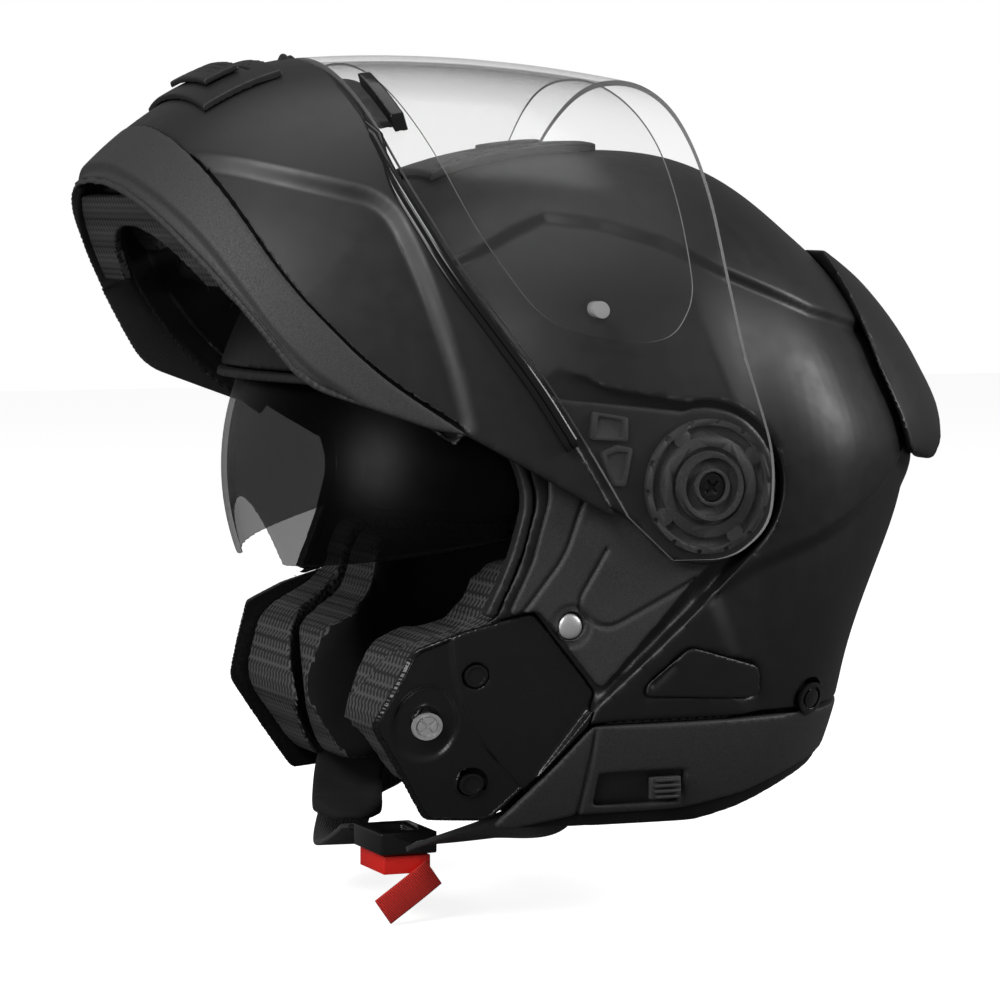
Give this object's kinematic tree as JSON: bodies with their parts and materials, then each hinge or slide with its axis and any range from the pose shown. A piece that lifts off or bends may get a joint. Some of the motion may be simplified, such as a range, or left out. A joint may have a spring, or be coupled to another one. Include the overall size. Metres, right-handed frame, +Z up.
{
  "type": "flip-up motorcycle helmet",
  "caption": "Flip-up motorcycle helmet with a hinged chin bar, clear visor, drop-down sun visor, padded liner and chin strap buckle.",
  "frame": {"origin": "centre of the bounding box with the chin bar raised", "axes": "+Z up, -Y the way the wearer looks, +X the wearer's left"},
  "size_m": [0.2456, 0.3248, 0.317],
  "materials": {
    "matte_shell": "matte black paint on moulded shell",
    "satin_grey": "satin charcoal",
    "textured_trim": "fine grained moulded plastic",
    "gloss_black": "gloss black",
    "soft_black": "black woven and brushed fabric",
    "mesh_fabric": "black open mesh knit",
    "rubber": "semi-gloss black rubber",
    "foam": "black bead foam",
    "steel": "bright steel",
    "red": "red lever and ribbed red webbing",
    "clear_sheet": "clear polycarbonate",
    "tinted_sheet": "dark smoke polycarbonate"
  },
  "bodies": {
    "helmet": {"outer_shell": "matte_shell", "rear_spoiler": "matte_shell", "top_vent": "satin_grey", "lower_rim": "textured_trim", "side_panel_left": "textured_trim", "side_panel_right": "textured_trim", "lock_plate_left": "gloss_black", "lock_plate_right": "gloss_black", "lock_plate_cap_upper_left": "gloss_black", "lock_plate_cap_upper_right": "gloss_black", "lock_plate_cap_lower_left": "gloss_black", "lock_plate_cap_lower_right": "gloss_black", "rim_plug_left": "gloss_black", "rim_plug_right": "gloss_black", "buckle_body": "gloss_black", "ratchet_tongue": "gloss_black", "neck_roll": "soft_black", "strap_left": "soft_black", "strap_right": "soft_black", "crown_liner": "mesh_fabric", "cheek_pad_left": "mesh_fabric", "cheek_pad_right": "mesh_fabric", "eye_port_seal": "rubber", "sun_lever_track": "rubber", "eps_liner": "foam", "cheek_foam_left": "foam", "cheek_foam_right": "foam", "latch_pin_left": "steel", "latch_pin_right": "steel", "strap_rivet_left": "steel", "strap_rivet_right": "steel", "pivot_base_left": "steel", "pivot_base_right": "steel"},
    "chin_bar": {"chin_bar_shell": "satin_grey", "chin_trim": "textured_trim", "chin_foam": "foam", "chin_curtain": "soft_black", "breath_guard": "rubber", "mouth_vent_base": "satin_grey", "visor_seal": "rubber", "visor_base_plate_left": "textured_trim", "visor_base_plate_right": "textured_trim", "pivot_screw_left": "steel", "pivot_screw_right": "steel"},
    "visor": {"visor_shield": "clear_sheet", "anti_fog_insert": "clear_sheet", "insert_pin_left": "clear_sheet", "insert_pin_right": "clear_sheet", "visor_tab": "clear_sheet"},
    "release_button": {"release_button": "gloss_black"},
    "latch_hook_left": {"latch_hook_left": "steel"},
    "latch_hook_right": {"latch_hook_right": "steel"},
    "mouth_vent_slider": {"mouth_vent_slider": "satin_grey"},
    "top_vent_slider": {"top_vent_slider": "satin_grey"},
    "sun_visor": {"sun_visor": "tinted_sheet"},
    "sun_visor_lever": {"sun_visor_lever": "gloss_black"},
    "comm_cover_left": {"comm_cover_left": "matte_shell"},
    "comm_cover_right": {"comm_cover_right": "matte_shell"},
    "buckle_lever": {"buckle_lever": "red", "pull_tab": "red"}
  },
  "joints": [
    {"name": "chin_bar_hinge", "type": "hinge", "parent": "helmet", "child": "chin_bar", "pos_m": [0, 0.03229, 0.00392], "axis": [1, 0, 0], "range_deg": [0, 73]},
    {"name": "visor_hinge", "type": "hinge", "parent": "chin_bar", "child": "visor", "pos_m": [0, 0.03229, 0.00392], "axis": [1, 0, 0], "range_deg": [-50, 0]},
    {"name": "sun_visor_hinge", "type": "hinge", "parent": "helmet", "child": "sun_visor", "pos_m": [0, -0.00771, 0.00492], "axis": [1, 0, 0], "range_deg": [-50, 0]},
    {"name": "sun_lever_slide", "type": "slide", "parent": "helmet", "child": "sun_visor_lever", "axis": [0, -1, 0], "range_m": [0, 0.0181]},
    {"name": "mouth_vent_slide", "type": "slide", "parent": "chin_bar", "child": "mouth_vent_slider", "axis": [0, -0.9563, -0.2924], "range_m": [0, 0.005]},
    {"name": "top_vent_slide", "type": "slide", "parent": "helmet", "child": "top_vent_slider", "axis": [0, -1, 0], "range_m": [0, 0.007]},
    {"name": "release_button_slide", "type": "slide", "parent": "chin_bar", "child": "release_button", "axis": [0, 0.9563, 0.2924], "range_m": [0, 0.003]},
    {"name": "latch_hook_left_hinge", "type": "hinge", "parent": "chin_bar", "child": "latch_hook_left", "pos_m": [0.083, -0.09675, 0.08054], "axis": [1, 0, 0], "range_deg": [0, 5.1]},
    {"name": "latch_hook_right_hinge", "type": "hinge", "parent": "chin_bar", "child": "latch_hook_right", "pos_m": [-0.083, -0.09675, 0.08054], "axis": [1, 0, 0], "range_deg": [0, 5.1]},
    {"name": "comm_cover_left_lift", "type": "slide", "parent": "helmet", "child": "comm_cover_left", "axis": [1, 0, 0], "range_m": [0, 0.008]},
    {"name": "comm_cover_right_lift", "type": "slide", "parent": "helmet", "child": "comm_cover_right", "axis": [-1, 0, 0], "range_m": [0, 0.008]},
    {"name": "buckle_lever_hinge", "type": "hinge", "parent": "helmet", "child": "buckle_lever", "pos_m": [0.021, -0.05571, -0.13508], "axis": [0, 1, 0], "range_deg": [0, 55]}
  ],
  "couplings": [
    {"joint": "sun_lever_slide", "follows": "sun_visor_hinge", "m_per_rad": -0.020626},
    {"joint": "latch_hook_left_hinge", "follows": "release_button_slide", "rad_per_m": 29.089},
    {"joint": "latch_hook_right_hinge", "follows": "release_button_slide", "rad_per_m": 29.089}
  ]
}
